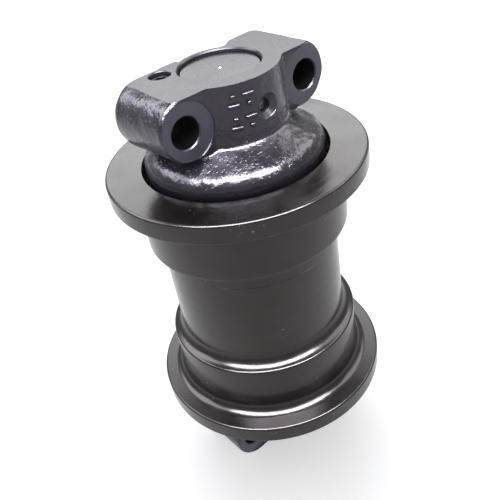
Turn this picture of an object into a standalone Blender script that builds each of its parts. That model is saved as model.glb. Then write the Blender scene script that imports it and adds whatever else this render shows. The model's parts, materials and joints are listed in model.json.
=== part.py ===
"""Track roller: the bottom roller of a crawler excavator, standing on one end.

The shaft lies along Z and the origin is the middle of the roller. Both ends
are the same set of pieces: each set is modelled for the upper end, under an
empty at the origin, and the lower empty is turned half a turn about Y. The
mounting pads of both collars face +Y and their ears point along X.
"""

import math

import bmesh
import bpy
from mathutils import Matrix, Vector

MM = 0.001
GAP = 0.3 * MM

# Shell
HALF_LENGTH = 105.5 * MM
FLANGE_RADIUS = 95.0 * MM
FLANGE_EDGE = 1.6 * MM
FLANGE_THICKNESS = 15.0 * MM
FLANGE_ROOT_DROP = 1.6 * MM
TREAD_RADIUS = 77.0 * MM
TREAD_FILLET = 9.0 * MM
TREAD_EDGE = 1.6 * MM
TREAD_INNER_Z = 44.7 * MM
WAIST_RADIUS = 68.0 * MM
WAIST_FILLET = 10.0 * MM
OPENING_RADIUS = 68.0 * MM
OPENING_FLOOR_Z = 86.0 * MM
OPENING_CHAMFER = 0.8 * MM
POCKET_RADIUS = 56.0 * MM
POCKET_FLOOR_Z = 73.0 * MM
OIL_SPACE_RADIUS = 36.0 * MM
OIL_SPACE_HALF = 33.0 * MM

# Shaft
SHAFT_RADIUS = 29.0 * MM
SHAFT_SEAT_RADIUS = 27.75 * MM
SHAFT_SHOULDER_Z = 78.0 * MM
SHAFT_HALF_LENGTH = 167.2 * MM
SHAFT_CHAMFER = 1.2 * MM
CENTRE_DRILL_RADIUS = 3.0 * MM
CENTRE_DRILL_DEPTH = 5.0 * MM
CENTRE_DRILL_POINT = 2.0 * MM

# Bushes
BUSH_FLANGE_RADIUS = 38.0 * MM
BUSH_FLANGE_TOP_Z = 78.0 * MM
BUSH_OUTER_RADIUS = 32.5 * MM

# Collars
END_Z = 170.0 * MM
HUB_RADIUS = 41.3 * MM
HUB_FOOT_Z = 130.5 * MM
NECK_TOP_RADIUS = 43.2 * MM
NECK_TOP_Z = 127.6 * MM
NECK_FOOT_RADIUS = 57.0 * MM
NECK_FOOT_Z = 119.4 * MM
SHOULDER_RADIUS = 61.6 * MM
SHOULDER_Z = 115.6 * MM
SKIRT_TOP_Z = 109.0 * MM
SKIRT_RADIUS = 64.5 * MM
SKIRT_BOTTOM_Z = 87.0 * MM
BORE_RADIUS = SHAFT_SEAT_RADIUS + GAP
BORE_CHAMFER = 0.8 * MM
MACHINING_ALLOWANCE = 1.5 * MM
BOSS_RADIUS = 36.0 * MM
BOSS_BOTTOM_Z = SHAFT_SHOULDER_Z + GAP
COLLAR_POCKET_TOP_Z = 98.0 * MM

# Ears, mounting pads and bolt holes
EAR_RADIUS = 23.0 * MM
EAR_CENTRE_X = 46.9 * MM
EAR_CENTRE_Z = 150.0 * MM
EAR_FRONT_Y = -27.0 * MM
PAD_Y = 32.0 * MM
BOLT_X = 51.3 * MM
BOLT_Z = 148.2 * MM
BOLT_HOLE_RADIUS = 10.5 * MM
SPOTFACE_RADIUS = 20.7 * MM
SPOTFACE_Y = -25.5 * MM
RELIEF_LEFT_X = -13.0 * MM
RELIEF_RIGHT_X = 25.0 * MM
RELIEF_SLOPE_X = 36.0 * MM
RELIEF_FLOOR_Y = 24.0 * MM
RELIEF_BOSS_RADIUS = 31.4 * MM
RELIEF_BOTTOM_Z = HUB_FOOT_Z - 3.0 * MM
PAD_BOTTOM_Z = HUB_FOOT_Z - 4.0 * MM

# Lock pin
PIN_X = 3.0 * MM
PIN_RADIUS = 4.2 * MM
PIN_HOLE_RADIUS = 4.5 * MM
PIN_FRONT_Y = -34.0 * MM
PIN_BACK_Y = 21.0 * MM

# Fill plug
PLUG_X = -34.2 * MM
PLUG_Y = 20.5 * MM
PLUG_RADIUS = 7.2 * MM
PLUG_TOP_Z = 167.4 * MM
PLUG_SEAT_Z = 157.0 * MM
PLUG_STEM_RADIUS = 3.3 * MM
PLUG_STEM_BOTTOM_Z = 149.0 * MM
PLUG_SOCKET_ACROSS_CORNERS = 9.2 * MM
PLUG_SOCKET_DEPTH = 6.0 * MM
PLUG_WASHER_THICKNESS = 1.2 * MM
OIL_WAY_RADIUS = 2.0 * MM

# Floating seals, one pair at each end, meeting face to face
SEAL_FACE_Z = 86.5 * MM
SEAL_INNER_RADIUS = 44.5 * MM
SEAL_BODY_RADIUS = 49.8 * MM
SEAL_LIP_RADIUS = 54.0 * MM
SEAL_LIP_THICKNESS = 2.4 * MM
SEAL_HEIGHT = 8.0 * MM
TORIC_RADIUS = 52.95 * MM
TORIC_SECTION = 2.7 * MM
TORIC_OFFSET = 5.5 * MM

# O-ring between shaft and collar
O_RING_Z = 120.0 * MM
O_RING_RADIUS = 29.5 * MM
O_RING_SECTION = 1.35 * MM
O_RING_GROOVE_RADIUS = 31.2 * MM
O_RING_GROOVE_HALF = 1.9 * MM

# Facets round each turned shape
SHELL_FACETS = 64
COLLAR_FACETS = 48
INNER_FACETS = 32
HOLE_FACETS = 24
RING_SECTION_FACETS = 6
EAR_END_FACETS = 10

for old in list(bpy.data.objects):
    bpy.data.objects.remove(old, do_unlink=True)


def make_collection(name):
    collection = bpy.data.collections.new(name)
    bpy.context.scene.collection.children.link(collection)
    return collection


PARTS = make_collection("track_roller")
CUTTERS = make_collection("track_roller_cutters")


def make_material(name, colour, roughness, metallic):
    material = bpy.data.materials.new(name)
    material.use_nodes = True
    shader = material.node_tree.nodes["Principled BSDF"]
    shader.inputs["Base Color"].default_value = (*colour, 1.0)
    shader.inputs["Roughness"].default_value = roughness
    shader.inputs["Metallic"].default_value = metallic
    return material


PAINTED_STEEL = make_material("black_painted_steel", (0.030, 0.028, 0.030), 0.35, 0.3)
CAST_PAINT = make_material("black_painted_casting", (0.024, 0.022, 0.026), 0.30, 0.3)
MACHINED_STEEL = make_material("machined_steel", (0.45, 0.45, 0.46), 0.30, 1.0)
SEAL_IRON = make_material("lapped_seal_iron", (0.30, 0.30, 0.31), 0.18, 1.0)
BRONZE = make_material("bushing_bronze", (0.52, 0.33, 0.14), 0.35, 1.0)
RUBBER = make_material("seal_rubber", (0.012, 0.012, 0.012), 0.60, 0.0)
COPPER = make_material("copper_washer", (0.60, 0.28, 0.16), 0.35, 1.0)


def new_part(name, mesh, material, end=None):
    part = bpy.data.objects.new(name, mesh)
    mesh.materials.append(material)
    PARTS.objects.link(part)
    part.parent = end
    return part


def new_cutter(name, mesh, end=None):
    cutter = bpy.data.objects.new(name, mesh)
    CUTTERS.objects.link(cutter)
    cutter.hide_render = True
    cutter.display_type = "WIRE"
    cutter.parent = end
    return cutter


def combine(part, other, operation):
    step = part.modifiers.new(operation.lower() + "_" + other.name, "BOOLEAN")
    step.operation = operation
    step.solver = "EXACT"
    step.object = other


def cut(part, cutter):
    combine(part, cutter, "DIFFERENCE")


def profile_mesh(name, points, closed):
    """A turned shape's section: (radius, height) points in the XZ plane."""
    edges = [(i, i + 1) for i in range(len(points) - 1)]
    if closed:
        edges.append((len(points) - 1, 0))
    mesh = bpy.data.meshes.new(name)
    mesh.from_pydata([(radius, 0.0, height) for radius, height in points], edges, [])
    return mesh


def turn(thing, facets):
    screw = thing.modifiers.new("turn", "SCREW")
    screw.axis = "Z"
    screw.steps = facets
    screw.render_steps = facets
    screw.use_merge_vertices = True
    screw.merge_threshold = 0.00001
    screw.use_smooth_shade = True


def turned_part(name, points, facets, material, end=None, closed=True):
    part = new_part(name, profile_mesh(name, points, closed), material, end)
    turn(part, facets)
    return part


def turned_cutter(name, points, facets, end=None, closed=True):
    cutter = new_cutter(name, profile_mesh(name, points, closed), end)
    turn(cutter, facets)
    return cutter


def arc(centre_radius, centre_z, radius, start, stop, steps):
    """Points on an arc of a section, from start to stop in degrees."""
    points = []
    for i in range(steps + 1):
        angle = math.radians(start + (stop - start) * i / steps)
        points.append((centre_radius + radius * math.cos(angle), centre_z + radius * math.sin(angle)))
    return points


def rod_mesh(name, radius, start, stop, facets):
    """A cylinder from one point to another, as a mesh in its final place."""
    line = Vector(stop) - Vector(start)
    middle = (Vector(stop) + Vector(start)) / 2
    turn_to_line = line.to_track_quat("Z", "Y").to_matrix().to_4x4()
    bm = bmesh.new()
    bmesh.ops.create_cone(
        bm, cap_ends=True, segments=facets, radius1=radius, radius2=radius, depth=line.length
    )
    bmesh.ops.transform(bm, matrix=Matrix.Translation(middle) @ turn_to_line, verts=bm.verts)
    mesh = bpy.data.meshes.new(name)
    bm.to_mesh(mesh)
    bm.free()
    return mesh


def box_mesh(name, low, high):
    """A box between two corners, as a mesh in its final place."""
    size = [b - a for a, b in zip(low, high)]
    middle = [(a + b) / 2 for a, b in zip(low, high)]
    bm = bmesh.new()
    bmesh.ops.create_cube(bm, size=1.0)
    bmesh.ops.scale(bm, vec=size, verts=bm.verts)
    bmesh.ops.translate(bm, vec=middle, verts=bm.verts)
    mesh = bpy.data.meshes.new(name)
    bm.to_mesh(mesh)
    bm.free()
    return mesh


def smooth(part, angle=35.0):
    part.data.shade_smooth()
    part.data.set_sharp_from_angle(angle=math.radians(angle))


def ring_part(name, radius, section, height, material, end):
    """A rubber ring of round section, flat on Z at the given height."""
    points = []
    for i in range(RING_SECTION_FACETS):
        angle = -2.0 * math.pi * i / RING_SECTION_FACETS
        points.append((radius + section * math.cos(angle), height + section * math.sin(angle)))
    return turned_part(name, points, INNER_FACETS, material, end)


def make_end(name, turned_over):
    end = bpy.data.objects.new(name, None)
    end.empty_display_size = 20.0 * MM
    end.rotation_euler = (0.0, math.pi if turned_over else 0.0, 0.0)
    PARTS.objects.link(end)
    return end


def make_roller_shell():
    """The forged shell: two flanges, two treads, a waist and a stepped bore."""
    rim_z = HALF_LENGTH - FLANGE_THICKNESS
    root_z = rim_z - FLANGE_ROOT_DROP
    outer = [
        (OPENING_RADIUS + OPENING_CHAMFER, HALF_LENGTH),
        *arc(FLANGE_RADIUS - FLANGE_EDGE, HALF_LENGTH - FLANGE_EDGE, FLANGE_EDGE, 90, 0, 1),
        *arc(FLANGE_RADIUS - FLANGE_EDGE, rim_z + FLANGE_EDGE, FLANGE_EDGE, 0, -90, 1),
        *arc(TREAD_RADIUS + TREAD_FILLET, root_z - TREAD_FILLET, TREAD_FILLET, 90, 180, 4),
        (TREAD_RADIUS, TREAD_INNER_Z + TREAD_EDGE),
        *arc(WAIST_RADIUS + WAIST_FILLET, TREAD_INNER_Z - WAIST_FILLET, WAIST_FILLET, 105, 180, 4),
    ]
    inner = [
        (OIL_SPACE_RADIUS, OIL_SPACE_HALF),
        (BUSH_OUTER_RADIUS + GAP, OIL_SPACE_HALF),
        (BUSH_OUTER_RADIUS + GAP, POCKET_FLOOR_Z),
        (POCKET_RADIUS, POCKET_FLOOR_Z),
        (POCKET_RADIUS, OPENING_FLOOR_Z),
        (OPENING_RADIUS, OPENING_FLOOR_Z),
        (OPENING_RADIUS, HALF_LENGTH - OPENING_CHAMFER),
    ]
    lower_outer = [(radius, -height) for radius, height in reversed(outer)]
    lower_inner = [(radius, -height) for radius, height in reversed(inner)]
    section = outer + lower_outer + lower_inner + inner
    turned_part("roller_shell", section, SHELL_FACETS, PAINTED_STEEL)


def make_shaft():
    """The fixed shaft: a thicker middle for the bushes, a seat for each collar."""
    half = [
        (0.0, SHAFT_HALF_LENGTH - CENTRE_DRILL_DEPTH),
        (CENTRE_DRILL_POINT, SHAFT_HALF_LENGTH - CENTRE_DRILL_DEPTH + CENTRE_DRILL_POINT),
        (CENTRE_DRILL_RADIUS, SHAFT_HALF_LENGTH),
        (SHAFT_SEAT_RADIUS - SHAFT_CHAMFER, SHAFT_HALF_LENGTH),
        (SHAFT_SEAT_RADIUS, SHAFT_HALF_LENGTH - SHAFT_CHAMFER),
        (SHAFT_SEAT_RADIUS, SHAFT_SHOULDER_Z),
        (SHAFT_RADIUS, SHAFT_SHOULDER_Z),
    ]
    other_half = [(radius, -height) for radius, height in reversed(half)]
    shaft = turned_part("shaft", half + other_half, COLLAR_FACETS, MACHINED_STEEL, closed=False)
    for side, sign in (("upper", 1), ("lower", -1)):
        hole = rod_mesh(
            "shaft_pin_hole_" + side,
            PIN_HOLE_RADIUS,
            (sign * PIN_X, -2 * SHAFT_RADIUS, sign * BOLT_Z),
            (sign * PIN_X, PIN_BACK_Y + GAP, sign * BOLT_Z),
            HOLE_FACETS,
        )
        cut(shaft, new_cutter(hole.name, hole))


def make_bush(side, end):
    """A flanged bush, pressed into the shell and running on the shaft."""
    flange_bottom = POCKET_FLOOR_Z + GAP
    section = [
        (SHAFT_RADIUS + GAP, BUSH_FLANGE_TOP_Z),
        (BUSH_FLANGE_RADIUS, BUSH_FLANGE_TOP_Z),
        (BUSH_FLANGE_RADIUS, flange_bottom),
        (BUSH_OUTER_RADIUS, flange_bottom),
        (BUSH_OUTER_RADIUS, OIL_SPACE_HALF),
        (SHAFT_RADIUS + GAP, OIL_SPACE_HALF),
    ]
    turned_part(side + "_bush", section, COLLAR_FACETS, BRONZE, end)


def make_seal(side, end):
    """Two lapped iron rings face to face, each carried by a rubber toric ring."""
    for owner, sign in (("shell", -1), ("collar", 1)):
        face = SEAL_FACE_Z + sign * GAP / 2
        back = face + sign * SEAL_HEIGHT
        lip = face + sign * SEAL_LIP_THICKNESS
        section = [
            (SEAL_INNER_RADIUS, face),
            (SEAL_INNER_RADIUS, back),
            (SEAL_BODY_RADIUS, back),
            (SEAL_BODY_RADIUS, lip),
            (SEAL_LIP_RADIUS, lip),
            (SEAL_LIP_RADIUS, face),
        ]
        if sign < 0:
            section.reverse()
        turned_part(f"{side}_{owner}_seal_ring", section, INNER_FACETS, SEAL_IRON, end)
        toric_z = SEAL_FACE_Z + sign * TORIC_OFFSET
        ring_part(f"{side}_{owner}_toric", TORIC_RADIUS, TORIC_SECTION, toric_z, RUBBER, end)


def make_collar(side, end):
    """The cast collar: skirt, hub, two ears with bolt holes, and pads at the back."""
    rough_top = END_Z + MACHINING_ALLOWANCE
    rough_bore = BORE_RADIUS - MACHINING_ALLOWANCE
    section = [
        (rough_bore, rough_top),
        (HUB_RADIUS, rough_top),
        (HUB_RADIUS, HUB_FOOT_Z),
        (NECK_TOP_RADIUS, NECK_TOP_Z),
        (NECK_FOOT_RADIUS, NECK_FOOT_Z),
        (SHOULDER_RADIUS, SHOULDER_Z),
        (SKIRT_RADIUS, SKIRT_TOP_Z),
        (SKIRT_RADIUS, SKIRT_BOTTOM_Z),
        (POCKET_RADIUS, SKIRT_BOTTOM_Z),
        (POCKET_RADIUS, COLLAR_POCKET_TOP_Z),
        (BOSS_RADIUS, COLLAR_POCKET_TOP_Z),
        (BOSS_RADIUS, BOSS_BOTTOM_Z),
        (rough_bore, BOSS_BOTTOM_Z),
    ]
    name = side + "_collar"
    collar = turned_part(name, section, COLLAR_FACETS, CAST_PAINT, end)
    combine(collar, new_cutter(name + "_ears", ear_bar_mesh(name + "_ears"), end), "UNION")

    far = 2 * FLANGE_RADIUS
    top = box_mesh(name + "_end_face", (-far, -far, END_Z), (far, far, far))
    back = box_mesh(name + "_pad_face", (-far, PAD_Y, PAD_BOTTOM_Z), (far, far, far))
    bore = rod_mesh(name + "_bore", BORE_RADIUS, (0, 0, 0), (0, 0, far), COLLAR_FACETS)
    for mesh in (top, back, bore):
        cut(collar, new_cutter(mesh.name, mesh, end))
    cut(collar, bore_relief(name, end))
    cut(collar, pad_relief(name, end))
    for label, x in (("left", -BOLT_X), ("right", BOLT_X)):
        hole = rod_mesh(
            f"{name}_{label}_bolt_hole", BOLT_HOLE_RADIUS, (x, -far, BOLT_Z), (x, far, BOLT_Z), HOLE_FACETS
        )
        seat = rod_mesh(
            f"{name}_{label}_spotface",
            SPOTFACE_RADIUS,
            (x, -far, BOLT_Z),
            (x, SPOTFACE_Y, BOLT_Z),
            COLLAR_FACETS,
        )
        cut(collar, new_cutter(seat.name, seat, end))
        cut(collar, new_cutter(hole.name, hole, end))
    pin_hole = rod_mesh(
        name + "_pin_hole", PIN_HOLE_RADIUS, (PIN_X, -far, BOLT_Z), (PIN_X, 0, BOLT_Z), HOLE_FACETS
    )
    cut(collar, new_cutter(pin_hole.name, pin_hole, end))
    cut(collar, plug_hole(name, end))


def prism_mesh(name, outline, low, high, placement):
    """A flat outline in XY, extruded from low to high along Z and then put in place."""
    curve = bpy.data.curves.new(name, "CURVE")
    curve.dimensions = "2D"
    curve.fill_mode = "BOTH"
    curve.extrude = (high - low) / 2
    spline = curve.splines.new("POLY")
    spline.points.add(len(outline) - 1)
    for point, (x, y) in zip(spline.points, outline):
        point.co = (x, y, 0.0, 1.0)
    spline.use_cyclic_u = True
    guide = bpy.data.objects.new(name, curve)
    CUTTERS.objects.link(guide)
    mesh = bpy.data.meshes.new_from_object(guide.evaluated_get(bpy.context.evaluated_depsgraph_get()))
    bpy.data.objects.remove(guide)
    bm = bmesh.new()
    bm.from_mesh(mesh)
    bmesh.ops.remove_doubles(bm, verts=bm.verts, dist=0.00001)
    lift = Matrix.Translation((0, 0, (low + high) / 2))
    bmesh.ops.transform(bm, matrix=placement @ lift, verts=bm.verts)
    bm.to_mesh(mesh)
    bm.free()
    return mesh


def ear_bar_mesh(name):
    """Both ears as one bar with round ends: an outline in XZ, extruded along Y."""
    right_end = arc(EAR_CENTRE_X, EAR_CENTRE_Z, EAR_RADIUS, -90, 90, EAR_END_FACETS)
    left_end = [(-x, z) for x, z in reversed(right_end)]
    rough_pad_y = PAD_Y + MACHINING_ALLOWANCE
    stand_up = Matrix.Rotation(math.pi / 2, 4, "X")
    return prism_mesh(name, right_end + left_end, -rough_pad_y, -EAR_FRONT_Y, stand_up)


def bore_relief(name, end):
    """What is turned out of the bore: the chamfer at its mouth and the O-ring groove."""
    inside = BORE_RADIUS - BORE_CHAMFER
    groove_low = O_RING_Z - O_RING_GROOVE_HALF
    groove_high = O_RING_Z + O_RING_GROOVE_HALF
    section = [
        (0.0, END_Z + BORE_CHAMFER),
        (BORE_RADIUS + 2 * BORE_CHAMFER, END_Z + BORE_CHAMFER),
        (inside, END_Z - 2 * BORE_CHAMFER),
        (inside, groove_high),
        (O_RING_GROOVE_RADIUS, groove_high),
        (O_RING_GROOVE_RADIUS, groove_low),
        (0.0, groove_low),
    ]
    return turned_cutter(name + "_bore_relief", section, COLLAR_FACETS, end, closed=False)


def pad_relief(name, end):
    """The hollow between the two pads, which leaves an even wall round the bore."""
    outline = [
        (RELIEF_LEFT_X, RELIEF_FLOOR_Y),
        (RELIEF_RIGHT_X, RELIEF_FLOOR_Y),
        (RELIEF_SLOPE_X, PAD_Y),
        (RELIEF_SLOPE_X, 2 * PAD_Y),
        (RELIEF_LEFT_X, 2 * PAD_Y),
    ]
    mesh = prism_mesh(name + "_pad_relief", outline, RELIEF_BOTTOM_Z, 2 * END_Z, Matrix())
    hollow = new_cutter(mesh.name, mesh, end)
    wall = rod_mesh(name + "_bore_wall", RELIEF_BOSS_RADIUS, (0, 0, 0), (0, 0, 3 * END_Z), COLLAR_FACETS)
    cut(hollow, new_cutter(wall.name, wall, end))
    return hollow


def plug_hole(name, end):
    """The stepped hole for the fill plug, with the oil way below it."""
    open_top = END_Z + MACHINING_ALLOWANCE
    open_bottom = COLLAR_POCKET_TOP_Z - MACHINING_ALLOWANCE
    stem_radius = PLUG_STEM_RADIUS + GAP
    head_radius = PLUG_RADIUS + GAP
    washer_seat = PLUG_SEAT_Z - PLUG_WASHER_THICKNESS - 2 * GAP
    section = [
        (0.0, open_top),
        (head_radius, open_top),
        (head_radius, washer_seat),
        (stem_radius, washer_seat),
        (stem_radius, PLUG_STEM_BOTTOM_Z - GAP),
        (OIL_WAY_RADIUS, PLUG_STEM_BOTTOM_Z - GAP),
        (OIL_WAY_RADIUS, open_bottom),
        (0.0, open_bottom),
    ]
    hole = turned_cutter(name + "_plug_hole", section, HOLE_FACETS, end, closed=False)
    hole.location = (PLUG_X, PLUG_Y, 0.0)
    return hole


def make_lock_pin(side, end):
    """The pin through hub and shaft that keeps the collar from turning."""
    front = (PIN_X, PIN_FRONT_Y, BOLT_Z)
    back = (PIN_X, PIN_BACK_Y, BOLT_Z)
    mesh = rod_mesh(side + "_lock_pin", PIN_RADIUS, front, back, HOLE_FACETS)
    smooth(new_part(mesh.name, mesh, MACHINED_STEEL, end))


def make_fill_plug(side, end):
    """The oil plug with its hexagon socket, and the copper washer under its head."""
    section = [
        (0.0, PLUG_TOP_Z),
        (PLUG_RADIUS, PLUG_TOP_Z),
        (PLUG_RADIUS, PLUG_SEAT_Z),
        (PLUG_STEM_RADIUS, PLUG_SEAT_Z),
        (PLUG_STEM_RADIUS, PLUG_STEM_BOTTOM_Z),
        (0.0, PLUG_STEM_BOTTOM_Z),
    ]
    plug = turned_part(side + "_fill_plug", section, HOLE_FACETS, MACHINED_STEEL, end, closed=False)
    plug.location = (PLUG_X, PLUG_Y, 0.0)
    socket = rod_mesh(
        side + "_plug_socket",
        PLUG_SOCKET_ACROSS_CORNERS / 2,
        (PLUG_X, PLUG_Y, PLUG_TOP_Z - PLUG_SOCKET_DEPTH),
        (PLUG_X, PLUG_Y, END_Z),
        6,
    )
    cut(plug, new_cutter(socket.name, socket, end))
    washer_top = PLUG_SEAT_Z - GAP
    washer_bottom = washer_top - PLUG_WASHER_THICKNESS
    washer_section = [
        (PLUG_STEM_RADIUS + GAP, washer_top),
        (PLUG_RADIUS - GAP, washer_top),
        (PLUG_RADIUS - GAP, washer_bottom),
        (PLUG_STEM_RADIUS + GAP, washer_bottom),
    ]
    washer = turned_part(side + "_plug_washer", washer_section, HOLE_FACETS, COPPER, end)
    washer.location = (PLUG_X, PLUG_Y, 0.0)


make_roller_shell()
make_shaft()
for side_name, is_turned_over in (("upper", False), ("lower", True)):
    end_empty = make_end(side_name + "_end", is_turned_over)
    make_collar(side_name, end_empty)
    make_bush(side_name, end_empty)
    make_seal(side_name, end_empty)
    ring_part(side_name + "_shaft_o_ring", O_RING_RADIUS, O_RING_SECTION, O_RING_Z, RUBBER, end_empty)
    make_lock_pin(side_name, end_empty)
    make_fill_plug(side_name, end_empty)
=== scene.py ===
"""The looks of a track roller: a painted steel shell that turns on a shaft between two cast collars."""

import json
import math

import bmesh
import bpy
from mathutils import Matrix, Vector, noise

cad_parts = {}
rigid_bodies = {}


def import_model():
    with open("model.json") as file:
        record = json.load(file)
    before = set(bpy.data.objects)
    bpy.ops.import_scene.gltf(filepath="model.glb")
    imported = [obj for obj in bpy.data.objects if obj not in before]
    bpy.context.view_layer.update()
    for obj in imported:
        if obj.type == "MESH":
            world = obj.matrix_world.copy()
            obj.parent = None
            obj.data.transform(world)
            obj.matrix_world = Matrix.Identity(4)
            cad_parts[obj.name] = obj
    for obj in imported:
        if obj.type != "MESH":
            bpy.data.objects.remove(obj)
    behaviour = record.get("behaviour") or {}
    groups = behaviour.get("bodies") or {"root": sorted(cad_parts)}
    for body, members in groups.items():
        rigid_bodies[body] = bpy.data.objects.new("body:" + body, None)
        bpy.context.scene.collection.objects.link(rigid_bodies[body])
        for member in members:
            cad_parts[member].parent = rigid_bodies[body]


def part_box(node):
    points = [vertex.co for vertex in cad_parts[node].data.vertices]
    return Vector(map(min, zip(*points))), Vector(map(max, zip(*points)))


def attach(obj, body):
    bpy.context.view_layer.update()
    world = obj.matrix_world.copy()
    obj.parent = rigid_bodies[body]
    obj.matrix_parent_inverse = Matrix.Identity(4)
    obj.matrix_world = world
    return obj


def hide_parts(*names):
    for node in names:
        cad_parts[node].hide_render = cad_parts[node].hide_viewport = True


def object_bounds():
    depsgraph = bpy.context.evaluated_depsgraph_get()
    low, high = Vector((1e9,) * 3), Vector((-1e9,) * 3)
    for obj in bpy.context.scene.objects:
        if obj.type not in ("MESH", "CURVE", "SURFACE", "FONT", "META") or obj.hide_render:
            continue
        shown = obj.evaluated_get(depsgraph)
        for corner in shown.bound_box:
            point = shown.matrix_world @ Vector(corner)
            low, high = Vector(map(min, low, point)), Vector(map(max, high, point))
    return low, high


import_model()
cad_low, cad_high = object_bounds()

mm = 0.001

# ROLLER SHELL. One steel forging: two guide flanges, two treads for the track links and a waist
# between them. It is turned all over on a lathe and hardened on the treads, then dipped in thin
# black enamel, which lets the tool marks through.

_, _, flange_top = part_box("roller_shell")[1]
flange_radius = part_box("roller_shell")[1][0]
flange_thickness = 15.0 * mm
flange_slope = 1.7 * mm
tread_radius = flange_radius - 18.0 * mm
tread_fillet = 9.0 * mm
tread_end = 44.8 * mm
waist_radius = tread_radius - 9.0 * mm
flange_edge = 2.0 * mm
waist_shoulder_drop = 2.4 * mm
opening_radius = 68.0 * mm
opening_floor = 86.0 * mm
pocket_radius = 56.0 * mm
pocket_floor = 73.0 * mm
press_fit_radius = 32.8 * mm
oil_space_radius = 36.0 * mm
oil_space_half = 33.0 * mm
broken_edge = 0.8 * mm


class Finish:
    """A material in the making: its Principled shader, and one way to add every other node."""

    def __init__(self, name, colour, roughness, metallic=0.0, ior=1.5, tint=(1, 1, 1), shine=0.5):
        self.material = bpy.data.materials.new(name)
        self.material.use_nodes = True
        self.nodes = self.material.node_tree.nodes
        self.links = self.material.node_tree.links
        self.shader = self.nodes["Principled BSDF"]
        self.shader.inputs["Base Color"].default_value = (*colour, 1)
        self.shader.inputs["Roughness"].default_value = roughness
        self.shader.inputs["Metallic"].default_value = metallic
        self.shader.inputs["IOR"].default_value = ior
        self.shader.inputs["Specular Tint"].default_value = (*tint, 1)
        self.shader.inputs["Specular IOR Level"].default_value = shine

    def feed(self, socket, value):
        """Links a flow into a socket, or sets a plain number or colour on it."""
        if isinstance(value, Flow):
            self.links.new(value.socket, socket)
        elif isinstance(value, tuple) and socket.type == "RGBA":
            socket.default_value = (*value, 1)
        else:
            socket.default_value = value

    def node(self, kind, settings, sockets, output=0):
        made = self.nodes.new(kind)
        for setting, value in settings.items():
            setattr(made, setting, value)
        for socket, value in sockets.items():
            self.feed(made.inputs[socket], value)
        return Flow(self, made.outputs[output])

    def place(self):
        return self.node("ShaderNodeTexCoord", {}, {}, "Object")

    def facing(self):
        """The way the surface faces, as X, Y and Z."""
        return self.node("ShaderNodeTexCoord", {}, {}, "Normal").parts()

    def mottle(self, place, size, detail=2.0, roughness=0.5):
        """Noise from 0 to 1, in blotches of about the given size."""
        sockets = {"Vector": place, "Scale": 1 / size, "Detail": detail, "Roughness": roughness}
        return self.node("ShaderNodeTexNoise", {}, sockets)

    def blend(self, share, first, second):
        return self.node("ShaderNodeMix", {"data_type": "RGBA"}, {"Factor": share, 6: first, 7: second}, 2)

    def joined(self, x, y, z):
        """Three numbers as one place."""
        return self.node("ShaderNodeCombineXYZ", {}, {0: x, 1: y, 2: z})

    def relief(self, height, depth, under=None):
        """Turns a height from 0 to 1 into relief of the given depth in metres."""
        sockets = {"Height": height, "Distance": depth, "Strength": 1.0}
        if under:
            sockets["Normal"] = under
        return self.node("ShaderNodeBump", {}, sockets)

    def rounded_edges(self, radius):
        """Normals that turn softly across sharp edges, as thick paint does."""
        return self.node("ShaderNodeBevel", {"samples": 6}, {"Radius": radius})

    def apply(self, **sockets):
        names = {"colour": "Base Color", "roughness": "Roughness", "normal": "Normal", "metallic": "Metallic"}
        for socket, value in sockets.items():
            self.feed(self.shader.inputs[names[socket]], value)
        return self.material


class Flow:
    """A value on its way through a finish. Sums written on it become Math nodes."""

    def __init__(self, finish, socket):
        self.finish = finish
        self.socket = socket

    def sum(self, operation, first, second=0.0):
        return self.finish.node("ShaderNodeMath", {"operation": operation}, {0: first, 1: second})

    def __add__(self, other):
        return self.sum("ADD", self, other)

    __radd__ = __add__

    def __sub__(self, other):
        return self.sum("SUBTRACT", self, other)

    def __rsub__(self, other):
        return self.sum("SUBTRACT", other, self)

    def __mul__(self, other):
        return self.sum("MULTIPLY", self, other)

    __rmul__ = __mul__

    def __abs__(self):
        return self.sum("ABSOLUTE", self)

    def rise(self, low, high):
        """0 below low and 1 above high, with a soft step between; it falls if low is the greater."""
        settings = {"interpolation_type": "SMOOTHSTEP"}
        sockets = {"Value": self, "From Min": low, "From Max": high}
        return self.finish.node("ShaderNodeMapRange", settings, sockets)

    def parts(self):
        split = self.finish.nodes.new("ShaderNodeSeparateXYZ")
        self.finish.feed(split.inputs[0], self)
        return [Flow(self.finish, socket) for socket in split.outputs]

    def from_axis(self):
        """Distance from the roller's axis."""
        x, y, _ = self.parts()
        level = self.finish.joined(x, y, 0.0)
        return self.finish.node("ShaderNodeVectorMath", {"operation": "LENGTH"}, {0: level}, "Value")

    def stretched(self, x, y, z):
        return self.finish.node("ShaderNodeVectorMath", {"operation": "MULTIPLY"}, {0: self, 1: (x, y, z)})


def enamel(name, colour, dusty, roughness, ior, tint, shine):
    """Thin black enamel: darker and glossier where it ran, dull and grey where dust settled on it."""
    paint = Finish(name, colour, roughness, ior=ior, tint=tint, shine=shine)
    place = paint.place()
    runs = paint.mottle(place, 22 * mm, 3.0).rise(0.35, 0.70)
    dust = paint.mottle(place, 3.5 * mm, 4.0, 0.65).rise(0.50, 0.78)
    _, _, up = paint.facing()
    settled = dust * up.rise(0.2, 0.9)
    body = paint.blend(runs * 0.6, colour, tuple(1.5 * c for c in colour))
    body = paint.blend(settled * 0.25, body, dusty)
    return paint, place, body, settled, runs


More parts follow.
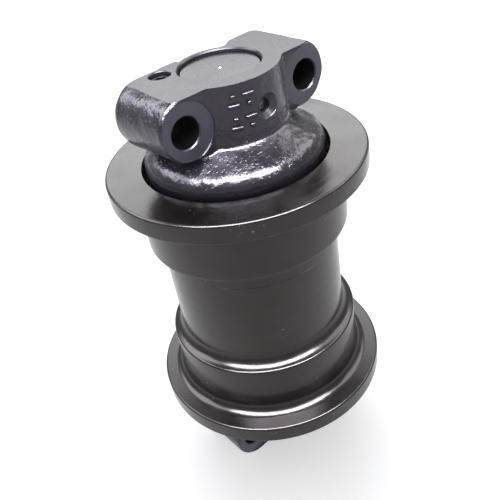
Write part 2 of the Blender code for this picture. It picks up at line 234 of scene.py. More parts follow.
def shell_enamel():
    paint, place, body, settled, runs = enamel(
        "shell_enamel", (0.0185, 0.0140, 0.0140), (0.045, 0.038, 0.033), 0.30, 1.47, (1.0, 0.955, 0.955), 0.38
    )
    x, y, z = place.parts()
    radius = place.from_axis()
    _, _, up = paint.facing()

    # Tool marks of the lathe run round the axis, and small pits of the forging are left between them.
    turning = paint.mottle(paint.joined(radius, z, 0.0), 0.9 * mm, 2.0)
    broad_turning = paint.mottle(paint.joined(radius, z, 0.0), 6 * mm, 1.0)
    pits = paint.mottle(place, 1.6 * mm, 3.0)

    # Knocks from handling sit on the flange rims, and rust breaks through in patches.
    at_rim = radius.rise(flange_radius - 2.2 * mm, flange_radius - 0.6 * mm)
    knocked_patch = paint.mottle(place, 35 * mm).rise(0.46, 0.60)
    knocks = paint.mottle(place, 2.0 * mm, 2.0).rise(0.66, 0.71) * at_rim * knocked_patch
    rusty_patch = paint.mottle(place, 30 * mm).rise(0.52, 0.62)
    rust_specks = paint.mottle(place, 1.3 * mm, 2.0).rise(0.70, 0.76) * rusty_patch
    dusty_patch = paint.mottle(place, 25 * mm).rise(0.60, 0.66)
    specks = paint.mottle(place, 2.4 * mm, 0.0).rise(0.82, 0.85) * dusty_patch

    # A witness line climbs a little round the front of the waist, with slanting scratches below it.
    witness_height, witness_climb, witness_half = 31 * mm, 1.5 * mm, 0.5 * mm
    from_front = x.sum("ARCTAN2", x, 0 - y)
    witness = (z + from_front * witness_climb - witness_height).rise(-witness_half, witness_half)
    witness = witness * from_front.rise(-1.1, -0.8) * from_front.rise(0.2, -0.3)
    round_front = from_front * waist_radius
    along, across = round_front * 0.85 + z * 0.5, z * 0.85 - round_front * 0.5
    scratches = paint.mottle(paint.joined(along * 0.08, across, 0.0), 1.2 * mm, 1.0).rise(0.68, 0.73)
    scratches = scratches * abs(z + 2 * mm).rise(13 * mm, 7 * mm) * abs(from_front - 0.02).rise(0.24, 0.12)
    underside = up.rise(-0.12, -0.5)

    body = paint.blend(knocks * 0.6, body, (0.30, 0.28, 0.26))
    body = paint.blend(scratches * 0.7, body, (0.16, 0.15, 0.14))
    body = paint.blend(specks, body, (0.22, 0.21, 0.20))
    body = paint.blend(rust_specks * settled * 0.8, body, (0.12, 0.035, 0.018))
    relief = paint.relief(turning, 0.012 * mm, paint.relief(broad_turning, 0.10 * mm))
    relief = paint.relief(pits, 0.035 * mm, relief)
    relief = paint.relief(witness - scratches * 0.15, 0.50 * mm, relief)
    dull = 0.16 + runs * 0.06 + settled * 0.07 + turning * 0.05 + scratches * 0.2 + underside * 0.45
    return paint.apply(colour=body, roughness=dull, normal=relief)


def turned(name, corners, steps, closed=True):
    """A lathe job: the section's corners, each with its radius, height and rounding, spun round Z."""
    bm = bmesh.new()
    points = [Vector((radius, 0, height)) for radius, height, _ in corners]
    verts = [bm.verts.new(point) for point in points]
    count = len(verts)
    for i in range(count if closed else count - 1):
        bm.edges.new((verts[i], verts[(i + 1) % count]))
    for i, (_, _, rounding) in enumerate(corners):
        if rounding:
            before, here, after = points[i - 1], points[i], points[(i + 1) % count]
            setback = rounding / math.tan((before - here).angle(after - here) / 2)
            segments = 10 if rounding > 4 * mm else 4
            bmesh.ops.bevel(
                bm, geom=[verts[i]], offset=setback, offset_type="OFFSET", segments=segments,
                profile=0.5, affect="VERTICES", material=-1,
            )
    bmesh.ops.spin(
        bm, geom=bm.verts[:] + bm.edges[:], cent=(0, 0, 0), axis=(0, 0, 1), angle=2 * math.pi,
        steps=steps, use_merge=True, use_duplicate=False,
    )
    bmesh.ops.remove_doubles(bm, verts=bm.verts, dist=0.001 * mm)
    bmesh.ops.recalc_face_normals(bm, faces=bm.faces)
    return as_piece(name, bm)


def as_piece(name, bm):
    mesh = bpy.data.meshes.new(name)
    bm.to_mesh(mesh)
    bm.free()
    piece = bpy.data.objects.new(name, mesh)
    bpy.context.scene.collection.objects.link(piece)
    return piece


def shade(piece):
    """Smooth shading that keeps real edges sharp and flat faces flat."""
    real_edge = math.radians(32)
    piece.data.shade_smooth()
    piece.data.set_sharp_from_angle(angle=real_edge)
    bm = bmesh.new()
    bm.from_mesh(piece.data)
    for edge in bm.edges:
        if len({face.material_index for face in edge.link_faces}) > 1:
            edge.smooth = False
    bm.to_mesh(piece.data)
    bm.free()
    flats = piece.modifiers.new("flats", "WEIGHTED_NORMAL")
    flats.mode = "FACE_AREA"
    flats.keep_sharp = True


def finished(piece, materials, body, node):
    """Coats a piece, shades it and puts it in the place of its CAD node on a body."""
    chosen = [face.material_index for face in piece.data.polygons]
    piece.data.materials.clear()
    for material in materials:
        piece.data.materials.append(material)
    for face, index in zip(piece.data.polygons, chosen):
        face.material_index = index
    shade(piece)
    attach(piece, body)
    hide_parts(node)


rim_foot = flange_top - flange_thickness


def outside(tread_edge, waist_fillet):
    """The outside of one half, from the opening's mouth to the waist."""
    return [
        (opening_radius, flange_top, broken_edge),
        (flange_radius, flange_top, flange_edge),
        (flange_radius, rim_foot, flange_edge),
        (tread_radius, rim_foot - flange_slope, tread_fillet),
        (tread_radius, tread_end, tread_edge),
        (waist_radius, tread_end - waist_shoulder_drop, waist_fillet),
    ]


upper_inside = [
    (oil_space_radius, oil_space_half, 0),
    (press_fit_radius, oil_space_half, broken_edge),
    (press_fit_radius, pocket_floor, broken_edge),
    (pocket_radius, pocket_floor, 1.5 * mm),
    (pocket_radius, opening_floor, broken_edge),
    (opening_radius, opening_floor, 1.5 * mm),
]
section = outside(5.0 * mm, 6.0 * mm)
section += [(r, -z, f) for r, z, f in reversed(outside(2.0 * mm, 9.8 * mm))]
section += [(r, -z, f) for r, z, f in reversed(upper_inside)] + upper_inside
shell = turned("turned_shell", section, steps=192)
finished(shell, [shell_enamel()], "roller", "roller_shell")

# SHAFT. Ground steel bar, thicker between the two bushes, with a centre drilling left in each end
# from the lathe. Only its ends show, sprayed over with the collars; a pin crosses each of them.

shaft_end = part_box("shaft")[1][2]
shaft_seat_radius = 27.75 * mm
shaft_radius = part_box("shaft")[1][0]
shaft_shoulder = 78.0 * mm
end_chamfer = 1.2 * mm
centre_radius = 3.0 * mm
centre_depth = 5.0 * mm
cone_radius = 2.1 * mm
guard_depth = 0.5 * mm
pilot_radius = 1.2 * mm
drilling_floor = shaft_end - centre_depth - pilot_radius
pin_height = 148.2 * mm
pin_x = 3.0 * mm
pin_hole_radius = 4.5 * mm
pin_hole_end = 21.3 * mm


def end_enamel(name, roughness, colour=(0.038, 0.034, 0.048)):
    """Enamel on a machined face: smooth, with the faint rings of the facing cut."""
    paint, place, body, settled, runs = enamel(
        name, colour, (0.08, 0.077, 0.08), roughness, 1.50, (0.98, 0.95, 1.0), 0.35
    )
    rings = paint.mottle(paint.joined(place.from_axis(), 0.0, 0.0), 1.1 * mm, 2.0)
    grain = paint.mottle(place, 1.1 * mm, 3.0)
    relief = paint.relief(rings, 0.010 * mm, paint.rounded_edges(0.45 * mm))
    relief = paint.relief(grain, 0.012 * mm, relief)
    dull = roughness + runs * 0.05 + settled * 0.08
    return paint.apply(colour=body, roughness=dull, normal=relief)


def cross_hole(name, radius, start, stop, x, height):
    """A rod along Y, to cut a hole for a pin."""
    bm = bmesh.new()
    bmesh.ops.create_cone(bm, cap_ends=True, segments=48, radius1=radius, radius2=radius, depth=stop - start)
    lay = Matrix.Translation((x, (start + stop) / 2, height)) @ Matrix.Rotation(math.pi / 2, 4, "X")
    bmesh.ops.transform(bm, matrix=lay, verts=bm.verts)
    bmesh.ops.recalc_face_normals(bm, faces=bm.faces)
    return as_piece(name, bm)


def machined(piece, cutters):
    """Cuts the piece with every cutter, keeps the result as its mesh and throws the cutters away."""
    for cutter in cutters:
        cut = piece.modifiers.new(cutter.name, "BOOLEAN")
        cut.operation = "DIFFERENCE"
        cut.solver = "MANIFOLD"
        cut.object = cutter
    keep_mesh(piece)
    for cutter in cutters:
        bpy.data.objects.remove(cutter)


def keep_mesh(piece):
    """Makes what the modifiers show the piece's own mesh."""
    done = piece.evaluated_get(bpy.context.evaluated_depsgraph_get())
    mesh = bpy.data.meshes.new_from_object(done)
    piece.modifiers.clear()
    piece.data = mesh


upper_half = [
    (0, drilling_floor, 0),
    (pilot_radius, shaft_end - centre_depth, 0),
    (pilot_radius, shaft_end - guard_depth - cone_radius + pilot_radius, 0),
    (cone_radius, shaft_end - guard_depth, 0),
    (centre_radius, shaft_end, 0),
    (shaft_seat_radius, shaft_end, end_chamfer),
    (shaft_seat_radius, shaft_shoulder, 0),
    (shaft_radius, shaft_shoulder, broken_edge),
]
both_halves = upper_half + [(r, -z, f) for r, z, f in reversed(upper_half)]
shaft = turned("turned_shaft", both_halves, steps=96, closed=False)
machined(shaft, [
    cross_hole("upper_pin_way", pin_hole_radius, -2 * shaft_radius, pin_hole_end, pin_x, pin_height),
    cross_hole("lower_pin_way", pin_hole_radius, -2 * shaft_radius, pin_hole_end, -pin_x, -pin_height),
])
for face in shaft.data.polygons:
    if face.center.xy.length < cone_radius and abs(face.center.z) > drilling_floor:
        face.material_index = 1
bare = Finish("bare_centre", (0.12, 0.118, 0.115), 0.22, metallic=1.0)
turning = bare.mottle(bare.joined(bare.place().from_axis(), 0.0, 0.0), 0.5 * mm, 1.0)
bare.apply(roughness=0.10 + turning * 0.10, normal=bare.relief(turning, 0.02 * mm))
finished(shaft, [end_enamel("shaft_enamel", 0.24), bare.material], "axle", "shaft")

# COLLARS. Two alike, sand-cast in steel: a skirt that closes the shell, a neck and hub on the shaft,
# and two ears that bolt up to the track frame. The end face, pads, bolt seats and bores are machined,
# and then the whole collar gets glossy black enamel, which fills the grain of the casting.

collar_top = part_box("upper_collar")[1][2]
skirt_radius = 64.9 * mm
skirt_bottom = 87.0 * mm
hub_radius = 41.3 * mm
hub_foot = 128.7 * mm
neck_fillet = 3.5 * mm
shoulder_height = 115.2 * mm
shoulder_round = 12.0 * mm
allowance = 2.5 * mm
pad_allowance = 1.0 * mm
boss_radius = 36.0 * mm
boss_bottom = shaft_shoulder + 0.3 * mm
seal_ceiling = 98.0 * mm
bore_radius = shaft_seat_radius + 0.3 * mm
bore_chamfer = 1.0 * mm
ring_groove_radius = 31.2 * mm
ring_height = 120.0 * mm
ring_groove_half = 1.9 * mm
ear_front = -27.0 * mm
ear_front_x = 46.9 * mm
ear_front_z = 150.0 * mm
ear_front_radius = 22.6 * mm
ear_back_x = 46.0 * mm
ear_back_z = 147.5 * mm
ear_back_radius = 24.5 * mm
ear_front_round = 4.0 * mm
ear_back_round = 7.0 * mm
pad_y = 32.0 * mm
bolt_x = 51.3 * mm
bolt_z = 148.2 * mm
bolt_radius = 10.5 * mm
bolt_chamfer = 0.9 * mm
seat_radius = 20.7 * mm
seat_y = -25.5 * mm
relief_left = -13.0 * mm
relief_right = 25.0 * mm
relief_slope = 36.0 * mm
relief_floor = 24.0 * mm
wall_radius = 31.4 * mm
slope_lean = math.radians(16)
slope_turn = math.radians(4)
slope_drop = 7 * mm
pin_sink_radius = 8.6 * mm
pin_sink_rim = -39.9 * mm
pin_sink_foot = -37.2 * mm
plug_x = -34.2 * mm
plug_y = 20.5 * mm
plug_head_radius = 7.2 * mm
plug_seat = 157.0 * mm
plug_stem_radius = 3.3 * mm
plug_stem_bottom = 149.0 * mm
washer_thickness = 1.2 * mm
oil_way_radius = 2.0 * mm
play = 0.3 * mm
sand_grain = 1.1 * mm
wave_length = 9 * mm
wave_height = 0.35 * mm


def cast_enamel():
    """Thick gloss over a sand-cast skin: lumps, orange peel and nibs under the paint."""
    paint, place, body, settled, runs = enamel(
        "cast_enamel", (0.0250, 0.0215, 0.0325), (0.07, 0.066, 0.07), 0.22, 1.50, (0.94, 0.89, 1.0), 0.42
    )
    sand = paint.mottle(place, 1.0 * mm, 2.0, 0.6)
    peel = paint.mottle(place, 2.8 * mm, 3.0, 0.55)
    lumps = paint.mottle(place, 7 * mm, 2.0)
    nibs = paint.mottle(place, 2.2 * mm, 1.0).rise(0.60, 0.72)
    relief = paint.relief(lumps, 0.55 * mm)
    relief = paint.relief(peel, 0.16 * mm, relief)
    relief = paint.relief(sand, 0.04 * mm, relief)
    relief = paint.relief(nibs, 0.10 * mm, relief)
    dull = 0.21 + runs * 0.08 + settled * 0.06
    return paint.apply(colour=body, roughness=dull, normal=relief)


def cast_blank():
    """The rough casting: hub, neck and skirt with the ear bar run into them, all edges soft."""
    top = collar_top + allowance
    blank = turned("collar_blank", [
        (0, top, 0),
        (hub_radius, top, 0),
        (hub_radius, hub_foot, neck_fillet),
        (skirt_radius, shoulder_height, shoulder_round),
        (skirt_radius, skirt_bottom - allowance, 0),
        (boss_radius + allowance, skirt_bottom - allowance, 0),
        (boss_radius + allowance, boss_bottom - allowance, 0),
        (0, boss_bottom - allowance, 0),
    ], steps=120, closed=False)
    bm = bmesh.new()
    ear_back = pad_y + pad_allowance
    stand = Matrix.Rotation(math.pi / 2, 4, "X")
    for side in (-1, 1):
        for x, y, z, radius in (
            (ear_front_x, ear_front, ear_front_z, ear_front_radius),
            (ear_back_x, ear_back, ear_back_z, ear_back_radius),
        ):
            where = Matrix.Translation((side * x, y, z)) @ stand
            bmesh.ops.create_circle(bm, cap_ends=False, segments=64, radius=radius, matrix=where)
    hull = bmesh.ops.convex_hull(bm, input=bm.verts)
    spare = [item for item in hull["geom_interior"] + hull["geom_unused"] if item.is_valid]
    bmesh.ops.delete(bm, geom=spare, context="VERTS")
    bmesh.ops.dissolve_limit(bm, angle_limit=0.01, verts=bm.verts, edges=bm.edges)
    for rim_y, rounding in ((ear_front, ear_front_round), (ear_back, ear_back_round)):
        rim = [edge for edge in bm.edges if all(abs(vert.co.y - rim_y) < 0.1 * mm for vert in edge.verts)]
        bmesh.ops.bevel(
            bm, geom=rim, offset=rounding, offset_type="OFFSET", segments=4,
            profile=0.5, affect="EDGES", material=-1,
        )
    bm.from_mesh(blank.data)
    bm.to_mesh(blank.data)
    bm.free()
    skin = blank.modifiers.new("skin", "REMESH")
    skin.mode = "VOXEL"
    skin.voxel_size = sand_grain
    soften = blank.modifiers.new("soften", "SMOOTH")
    soften.factor = 0.5
    soften.iterations = 5
    keep_mesh(blank)
    bm = bmesh.new()
    bm.from_mesh(blank.data)
    for vert in bm.verts:
        vert.co += vert.normal * noise.noise(vert.co / wave_length) * wave_height
    bm.to_mesh(blank.data)
    bm.free()
    return blank


def shaded_bolt_bore():
    """The drilled wall of a bolt hole, dull and streaked by the drill, coloured near black as painted shade
    deep in the hole.
    """
    wall = Finish("bolt_hole_painted_shade", (0.012, 0.010, 0.009), 0.55, shine=0.06)
    drilling = wall.mottle(wall.place().stretched(1, 6, 1), 2.0 * mm, 3.0)
    colour = wall.blend(drilling.rise(0.4, 0.7), (0.005, 0.0045, 0.0045), (0.022, 0.017, 0.015))
    return wall.apply(colour=colour, roughness=0.5 + drilling * 0.15, normal=wall.relief(drilling, 0.04 * mm))


collar_coats = [
    cast_enamel(),
    end_enamel("collar_face_enamel", 0.26),
    # near-black walls for the bolt holes: painted shade
    shaded_bolt_bore(),
    # the same enamel in a lighter colour for the bolt seats: painted light on the seat faces
    end_enamel("bolt_seat_painted_light", 0.30, (0.060, 0.060, 0.084)),
]
as_cast, faced, shaded_bore, lit_seat = range(4)


def coated(piece, cast):
    """Gives a blank or a cutter all of the collar's coats, so that a cut face keeps the cutter's one."""
    for material in collar_coats:
        piece.data.materials.append(material)
    for face in piece.data.polygons:
        face.material_index = as_cast if cast else faced
    return piece


def turned_cutter(name, corners, matrix=Matrix()):
    """A turned shape, moved to where it cuts."""
    cutter = turned(name, corners, steps=96, closed=False)
    cutter.data.transform(matrix)
    return coated(cutter, False)


def slab(name, low, high, cast):
    """A block between two corners."""
    bm = bmesh.new()
    bmesh.ops.create_cube(bm, size=1.0)
    bmesh.ops.scale(bm, vec=[b - a for a, b in zip(low, high)], verts=bm.verts)
    bmesh.ops.translate(bm, vec=[(a + b) / 2 for a, b in zip(low, high)], verts=bm.verts)
    return coated(as_piece(name, bm), cast)


def relief_cutter():
    """The hollow cored out between the pads, round the wall of the bore."""
    bm = bmesh.new()
    outline = [
        (relief_left, relief_floor), (relief_right, relief_floor), (relief_slope, pad_y),
        (relief_slope, 2 * pad_y), (relief_left, 2 * pad_y),
    ]
    floor = bm.faces.new([bm.verts.new((x, y, hub_foot)) for x, y in outline])
    walls = bmesh.ops.extrude_face_region(bm, geom=[floor])
    lifted = [item for item in walls["geom"] if isinstance(item, bmesh.types.BMVert)]
    bmesh.ops.translate(bm, vec=(0, 0, 2 * (collar_top - hub_foot)), verts=lifted)
    bmesh.ops.recalc_face_normals(bm, faces=bm.faces)
    hollow = coated(as_piece("pad_relief", bm), True)
    wall = turned("bore_wall", [
        (0, 0, 0), (wall_radius, 0, 0), (wall_radius, 2 * collar_top, 0), (0, 2 * collar_top, 0),
    ], steps=96, closed=False)
    coated(wall, True)
    machined(hollow, [wall])
    return hollow


def sloped_corner():
    """The slope where the right pad runs up to the end face, as cast."""
    corner = slab("pad_slope", (relief_right, 0, 0), (2 * flange_radius, flange_radius, flange_radius), True)
    corner.data.transform(Matrix.Translation((-ear_front_x, 0, 0)))
    lean = Matrix.Rotation(slope_turn, 4, "Z") @ Matrix.Rotation(slope_lean, 4, "X")
    corner.data.transform(Matrix.Translation((ear_front_x, pad_y - 0.2 * mm, collar_top - slope_drop)) @ lean)
    return corner


def machine_collar(blank):
    """Every cut that the casting gets on its way through the machine shop."""
    far = 2 * flange_radius
    lathe_side = turned_cutter("skirt_side", [
        (0, boss_bottom - far, 0), (0, boss_bottom, 0), (boss_radius, boss_bottom, 0),
        (boss_radius, seal_ceiling, 0), (pocket_radius, seal_ceiling, 0), (pocket_radius, skirt_bottom, 0),
        (far, skirt_bottom, 0), (far, boss_bottom - far, 0),
    ])
    bore = turned_cutter("bore", [
        (0, boss_bottom - play, 0),
        (bore_radius + bore_chamfer, boss_bottom - play, 0),
        (bore_radius, boss_bottom + bore_chamfer, 0),
        (bore_radius, ring_height - ring_groove_half, 0),
        (ring_groove_radius, ring_height - ring_groove_half, 0),
        (ring_groove_radius, ring_height + ring_groove_half, 0),
        (bore_radius, ring_height + ring_groove_half, 0),
        (bore_radius, collar_top - bore_chamfer, 0),
        (bore_radius + 2 * bore_chamfer, collar_top + bore_chamfer, 0),
        (0, collar_top + bore_chamfer, 0),
    ])
    cutters = [
        slab("end_face", (-far, -far, collar_top), (far, far, far), False),
        slab("pads", (-far, pad_y, hub_foot - 6 * mm), (far, far, far), False),
        lathe_side, bore, relief_cutter(), sloped_corner(),
    ]
    lay_back = Matrix.Rotation(-math.pi / 2, 4, "X")
    near = 0.2 * mm
    for x in (-bolt_x, bolt_x):
        bolt_hole = turned_cutter("bolt_hole", [
            (0, -far, 0), (seat_radius, -far, 0), (seat_radius, seat_y, 1.0 * mm),
            (bolt_radius + bolt_chamfer, seat_y, 0), (bolt_radius, seat_y + bolt_chamfer, 0),
            (bolt_radius, pad_y - bolt_chamfer, 0),
            (bolt_radius + 2 * bolt_chamfer, pad_y + bolt_chamfer, 0),
            (0, pad_y + bolt_chamfer, 0),
        ], Matrix.Translation((x, 0, bolt_z)) @ lay_back)
        for face in bolt_hole.data.polygons:
            across = math.hypot(face.center.x - x, face.center.z - bolt_z)
            # the hole's wall gets the near-black coat of painted shade
            if abs(across - bolt_radius) < near:
                face.material_index = shaded_bore
            # the seat round the mouth gets the lighter coat of painted light
            elif across > bolt_radius and abs(face.center.y - seat_y) < near:
                face.material_index = lit_seat
        cutters.append(bolt_hole)
    cutters.append(turned_cutter("pin_hole", [
        (0, -far, 0), (pin_sink_radius, -far, 0), (pin_sink_radius, pin_sink_rim, 1.2 * mm),
        (pin_hole_radius, pin_sink_foot, 0), (pin_hole_radius, 0, 0), (0, 0, 0),
    ], Matrix.Translation((pin_x, 0, pin_height)) @ lay_back))
    washer_seat = plug_seat - washer_thickness - 2 * play
    head, stem = plug_head_radius + play, plug_stem_radius + play
    cutters.append(turned_cutter("plug_hole", [
        (0, collar_top + 1.0 * mm, 0), (head + 1.6 * mm, collar_top + 1.0 * mm, 0),
        (head, collar_top - 0.6 * mm, 0), (head, washer_seat, 0), (stem, washer_seat, 0),
        (stem, plug_stem_bottom - play, 0),
        (oil_way_radius, plug_stem_bottom - play, 0), (oil_way_radius, seal_ceiling - allowance, 0),
        (0, seal_ceiling - allowance, 0),
    ], Matrix.Translation((plug_x, plug_y, 0))))
    machined(blank, cutters)


def cast_marks():
    """Plain raised bars and pips on the front of the hub, where a foundry puts its marks."""
    marks = []
    bar_long, pip_long, bar_wide, proud = 8.5 * mm, 3.825 * mm, 3.0 * mm, 1.9 * mm
    for row, z in enumerate((162 * mm, 156 * mm, 147 * mm, 141 * mm)):
        for column, turn_back in enumerate((-29, -15)):
            bm = bmesh.new()
            bmesh.ops.create_cube(bm, size=1.0)
            long = bar_long if (row + column) % 2 else pip_long
            bmesh.ops.scale(bm, vec=(long, 2 * proud, bar_wide), verts=bm.verts)
            bmesh.ops.bevel(
                bm, geom=bm.edges[:], offset=0.42 * bar_wide, offset_type="OFFSET", segments=3,
                profile=0.5, affect="EDGES", material=-1,
            )
            seat = Matrix.Rotation(math.radians(turn_back), 4, "Z") @ Matrix.Translation((0, -hub_radius, z))
            bmesh.ops.transform(bm, matrix=seat, verts=bm.verts)
            marks.append(coated(as_piece("cast_bar", bm), True))
    return marks


def joined_on(blank, additions):
    """Makes raised parts one with the casting."""
    for addition in additions:
        step = blank.modifiers.new(addition.name, "BOOLEAN")
        step.operation = "UNION"
        step.solver = "MANIFOLD"
        step.object = addition
    keep_mesh(blank)
    for addition in additions:
        bpy.data.objects.remove(addition)


def turned_over(piece, name):
    """The same piece for the lower end."""
    lower = bpy.data.objects.new(name, piece.data.copy())
    lower.data.transform(Matrix.Rotation(math.pi, 4, "Y"))
    bpy.context.scene.collection.objects.link(lower)
    return lower


blank = coated(cast_blank(), True)
joined_on(blank, cast_marks())
machine_collar(blank)
lower_blank = turned_over(blank, "cast_lower_collar")
blank.name = "cast_upper_collar"
finished(blank, collar_coats, "axle", "upper_collar")
finished(lower_blank, collar_coats, "axle", "lower_collar")

# BUSHES. Bronze, pressed into the shell from each end. Oil grooves in the bore and pockets in the
# flange face carry oil from the space in the middle of the shell to the shaft.

bush_flange_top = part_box("upper_bush")[1][2]
bush_flange_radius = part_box("upper_bush")[1][0]
bush_radius = 32.5 * mm
running_play = 0.3 * mm


def bronze():
    metal = Finish("bush_bronze", (0.55, 0.36, 0.16), 0.3, metallic=1.0)
    place = metal.place()
    _, _, z = place.parts()
    turning = metal.mottle(metal.joined(place.from_axis(), z, 0.0), 0.7 * mm, 2.0)
    oil = metal.mottle(place, 9 * mm, 3.0).rise(0.4, 0.7)
    colour = metal.blend(oil * 0.6, (0.55, 0.36, 0.16), (0.30, 0.17, 0.07))
    return metal.apply(
        colour=colour, roughness=0.22 + turning * 0.15 + oil * 0.1, normal=metal.relief(turning, 0.02 * mm)
    )


def both_ends(piece, kind, materials, body):
    """Finishes a piece of the upper end, and its copy turned over for the lower end."""
    lower = turned_over(piece, piece.name.replace("upper", "lower"))
    finished(piece, materials, body, "upper_" + kind)
    finished(lower, materials, body, "lower_" + kind)


groove_pitch = 10 * mm
groove_half = 1.5 * mm
groove_floor_half = 0.7 * mm
groove_depth = 0.9 * mm
bush_bore = shaft_radius + running_play
bush_section = [
    (bush_bore, bush_flange_top, 0.8 * mm),
    (bush_flange_radius, bush_flange_top, 0.5 * mm),
    (bush_flange_radius, pocket_floor + play, 0.3 * mm),
    (bush_radius, pocket_floor + play, 0.3 * mm),
    (bush_radius, oil_space_half, 0.8 * mm),
    (bush_bore, oil_space_half, 0.5 * mm),
]
for groove in range(3):
    groove_z = oil_space_half + (groove + 1) * groove_pitch
    bush_section += [
        (bush_bore, groove_z - groove_half, 0.2 * mm),
        (bush_bore + groove_depth, groove_z - groove_floor_half, 0.3 * mm),
        (bush_bore + groove_depth, groove_z + groove_floor_half, 0.3 * mm),
        (bush_bore, groove_z + groove_half, 0.2 * mm),
    ]
both_ends(turned("upper_turned_bush", bush_section, steps=96), "bush", [bronze()], "roller")

# FLOATING SEALS. Two lapped iron rings run face to face at each end, one turning with the shell and
# one still with the collar; a soft rubber ring carries each of them and presses them together.

seal_face = 86.5 * mm
seal_inner_radius = 44.5 * mm
seal_body_radius = 49.8 * mm
seal_lip_radius = 54.0 * mm
seal_lip = 2.4 * mm
seal_height = 8.0 * mm
toric_radius = 52.95 * mm
toric_section = 2.7 * mm
toric_offset = 5.5 * mm


def lapped_iron():
    metal = Finish("lapped_iron", (0.32, 0.32, 0.33), 0.2, metallic=1.0)
    place = metal.place()
    _, _, z = place.parts()
    lapping = metal.mottle(metal.joined(place.from_axis(), z, 0.0), 0.5 * mm, 2.0)
    grain = metal.mottle(place, 1.2 * mm, 3.0)
    return metal.apply(
        colour=metal.blend(grain, (0.26, 0.26, 0.27), (0.38, 0.38, 0.39)),
        roughness=0.12 + lapping * 0.2, normal=metal.relief(lapping, 0.01 * mm),
    )


def soft_rubber(name, dust):
    rubber = Finish(name, (0.012, 0.012, 0.012), 0.55)
    place = rubber.place()
    bloom = rubber.mottle(place, 6 * mm, 3.0).rise(0.45, 0.75)
    skin = rubber.mottle(place, 0.8 * mm, 2.0)
    return rubber.apply(
        colour=rubber.blend(bloom * dust, (0.012, 0.012, 0.012), (0.035, 0.034, 0.033)),
        roughness=0.45 + bloom * 0.2, normal=rubber.relief(skin, 0.03 * mm),
    )


def round_ring(name, radius, section, height):
    """A ring of round rubber."""
    bm = bmesh.new()
    bmesh.ops.create_circle(bm, cap_ends=False, segments=20, radius=section)
    stand = Matrix.Translation((radius, 0, height)) @ Matrix.Rotation(math.pi / 2, 4, "X")
    bmesh.ops.transform(bm, matrix=stand, verts=bm.verts)
    bmesh.ops.spin(
        bm, geom=bm.verts[:] + bm.edges[:], cent=(0, 0, 0), axis=(0, 0, 1), angle=2 * math.pi,
        steps=96, use_merge=True, use_duplicate=False,
    )
    bmesh.ops.recalc_face_normals(bm, faces=bm.faces)
    return as_piece(name, bm)


iron, toric_rubber = lapped_iron(), soft_rubber("toric_rubber", 0.6)
for owner, body, side in (("shell", "roller", -1), ("collar", "axle", 1)):
    face = seal_face + side * play / 2
    ring_section = [
        (seal_inner_radius, face, 0.5 * mm),
        (seal_lip_radius, face, 0.3 * mm),
        (seal_lip_radius, face + side * seal_lip, 0.4 * mm),
        (seal_body_radius, face + side * seal_lip, 1.2 * mm),
        (seal_body_radius, face + side * seal_height, 0.6 * mm),
        (seal_inner_radius, face + side * seal_height, 0.6 * mm),
    ]
    ring = turned(f"upper_{owner}_lapped_ring", ring_section, steps=96)
    both_ends(ring, owner + "_seal_ring", [iron], body)
    toric = round_ring(f"upper_{owner}_soft_ring", toric_radius, toric_section, seal_face + side * toric_offset)
    both_ends(toric, owner + "_toric", [toric_rubber], body)

# SHAFT O-RINGS. Moulded rubber. One round ring in a groove of each collar's bore keeps the oil from
# creeping out along the shaft seat.

o_ring_radius = 29.5 * mm
o_ring_section = 1.35 * mm
o_ring = round_ring("upper_o_ring", o_ring_radius, o_ring_section, ring_height)
both_ends(o_ring, "shaft_o_ring", [soft_rubber("o_ring_rubber", 0.2)], "axle")

# LOCK PINS. A ground steel dowel through hub and shaft at each end keeps the collar from turning.
# It sits below the mouth of its hole, dark with oil and paint mist.

pin_low, pin_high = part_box("upper_lock_pin")
pin_radius = (pin_high.x - pin_low.x) / 2
pin_section = [
    (0, pin_low.y, 0), (pin_radius, pin_low.y, 0.7 * mm),
    (pin_radius, pin_high.y, 1.0 * mm), (0, pin_high.y, 0),
]
pin = turned("upper_ground_pin", pin_section, steps=48, closed=False)
pin.data.transform(Matrix.Translation((pin_x, 0, pin_height)) @ Matrix.Rotation(-math.pi / 2, 4, "X"))
pin_steel = Finish("oily_pin_steel", (0.10, 0.10, 0.105), 0.35, metallic=0.8)
oil = pin_steel.mottle(pin_steel.place(), 3 * mm, 3.0).rise(0.4, 0.7)
grind = pin_steel.mottle(pin_steel.place().stretched(1, 8, 1), 0.6 * mm, 2.0)
pin_steel.apply(
    colour=pin_steel.blend(oil, (0.10, 0.10, 0.105), (0.025, 0.022, 0.02)),
    roughness=0.3 + oil * 0.1, normal=pin_steel.relief(grind, 0.02 * mm),
)
both_ends(pin, "lock_pin", [pin_steel.material], "axle")

# FILL PLUGS. A steel screw with a hexagon socket, painted over with the collar, closes each oil way.
# Its head seats on a soft copper washer at the bottom of a counterbore.

plug_top = 167.4 * mm
socket_radius = 4.6 * mm
socket_depth = 6.0 * mm
thread_pitch = 1.0 * mm
thread_depth = 0.5 * mm
plug_section = [
    (0, plug_top, 0), (plug_head_radius, plug_top, 1.0 * mm), (plug_head_radius, plug_seat, 0.5 * mm),
    (plug_stem_radius, plug_seat, 0.3 * mm),
]
turn_z = plug_seat - 1.5 * mm
while turn_z - thread_pitch > plug_stem_bottom + 0.5 * mm:
    plug_section += [
        (plug_stem_radius, turn_z, 0), (plug_stem_radius - thread_depth, turn_z - thread_pitch / 2, 0),
    ]
    turn_z -= thread_pitch
plug_section += [
    (plug_stem_radius, turn_z, 0), (plug_stem_radius, plug_stem_bottom, 0.6 * mm), (0, plug_stem_bottom, 0),
]
plug = turned("upper_socket_plug", plug_section, steps=48, closed=False)
bm = bmesh.new()
bmesh.ops.create_cone(
    bm, cap_ends=True, segments=6, radius1=socket_radius, radius2=socket_radius, depth=2 * socket_depth
)
bmesh.ops.translate(bm, vec=(0, 0, plug_top), verts=bm.verts)
machined(plug, [as_piece("hexagon", bm)])
to_plug = Matrix.Translation((plug_x, plug_y, 0))
plug.data.transform(to_plug)
both_ends(plug, "fill_plug", [end_enamel("plug_enamel", 0.3)], "axle")

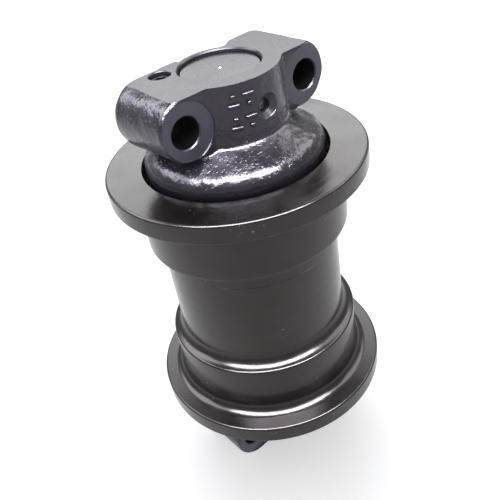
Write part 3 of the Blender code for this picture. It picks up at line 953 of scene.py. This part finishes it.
washer_top = plug_seat - play
washer = turned("upper_copper_washer", [
    (plug_stem_radius + play, washer_top, 0.2 * mm),
    (plug_head_radius - play, washer_top, 0.3 * mm),
    (plug_head_radius - play, washer_top - washer_thickness, 0.3 * mm),
    (plug_stem_radius + play, washer_top - washer_thickness, 0.2 * mm),
], steps=48)
washer.data.transform(to_plug)
copper = Finish("copper", (0.60, 0.28, 0.16), 0.3, metallic=1.0)
tarnish = copper.mottle(copper.place(), 3 * mm, 3.0).rise(0.4, 0.7)
copper.apply(
    colour=copper.blend(tarnish, (0.60, 0.28, 0.16), (0.28, 0.14, 0.09)), roughness=0.25 + tarnish * 0.2,
    normal=copper.relief(copper.mottle(copper.place(), 0.8 * mm), 0.02 * mm),
)
both_ends(washer, "plug_washer", [copper.material], "axle")

# STUDIO. A white floor under the lower collar and pale walls all round. A broad softbox stands behind,
# and three bright ones, overhead, left and right, draw the long highlights in the gloss.

floor_size = 14.0
bpy.ops.mesh.primitive_plane_add(size=floor_size, location=(0, 0, cad_low.z))
floor = bpy.context.object
floor.name = "studio_floor"
floor_finish = Finish("floor_white", (0.86, 0.86, 0.86), 0.9)
floor_finish.shader.inputs["Emission Color"].default_value = (1, 1, 1, 1)
floor_finish.shader.inputs["Emission Strength"].default_value = 0.46
floor.data.materials.append(floor_finish.material)

world = bpy.data.worlds.new("studio")
bpy.context.scene.world = world
world.use_nodes = True
sky = world.node_tree.nodes["Background"]
sky.inputs[0].default_value = (0.97, 0.98, 1.0, 1)
sky.inputs[1].default_value = 0.62


def softbox(name, width, height, radiance, colour, spot, aim):
    """A rectangular lamp of even radiance, turned towards what it lights."""
    lamp = bpy.data.lights.new(name, "AREA")
    lamp.shape = "RECTANGLE"
    lamp.size, lamp.size_y = width, height
    lamp.energy = radiance * width * height * math.pi
    lamp.color = colour
    box = bpy.data.objects.new(name, lamp)
    box.location = spot
    box.rotation_euler = (Vector(aim) - Vector(spot)).to_track_quat("-Z", "Y").to_euler()
    bpy.context.scene.collection.objects.link(box)
    return box


softbox("back_softbox", 2.6, 1.4, 4.4, (0.98, 0.98, 1.0), (1.19, 1.70, 1.60), (0, 0, 0.05))
overhead = softbox("overhead_softbox", 2.4, 0.70, 64.0, (0.96, 0.94, 1.0), (-0.42, -0.60, 1.38), (0, 0, 0))
left = softbox("left_softbox", 1.3, 0.8, 10.0, (0.92, 0.91, 1.0), (-0.84, 0.99, 1.09), (0, 0, 0))
right = softbox("right_softbox", 1.3, 0.8, 6.5, (1.0, 0.97, 0.97), (1.22, -0.44, 1.09), (0, 0, 0))
# The three bright ones show in the gloss only, and not on the floor.
lit = bpy.data.collections.new("lit_from_above")
for piece in bpy.context.scene.objects:
    if piece.type == "MESH" and piece is not floor:
        lit.objects.link(piece)
for lamp in (overhead, left, right):
    lamp.light_linking.receiver_collection = lit
    lamp.visible_diffuse = False

# The camera looks down on the upper collar from its front left.
camera_spot = Vector((-0.23437, -0.33429, 0.31491))
camera_forward = Vector((0.459199, 0.662757, -0.591515)).normalized()
camera_right = Vector((0.747004, -0.648446, -0.146637))
camera_right = (camera_right - camera_forward * camera_right.dot(camera_forward)).normalized()
camera_up = camera_right.cross(camera_forward)
turn = Matrix((camera_right, camera_up, -camera_forward)).transposed().to_4x4()
lens = bpy.data.cameras.new("camera")
lens.lens = 45.42
lens.sensor_width = 36.0
camera = bpy.data.objects.new("camera", lens)
camera.matrix_world = Matrix.Translation(camera_spot) @ turn
bpy.context.scene.collection.objects.link(camera)
bpy.context.scene.camera = camera
bpy.context.scene.view_settings.view_transform = "Standard"
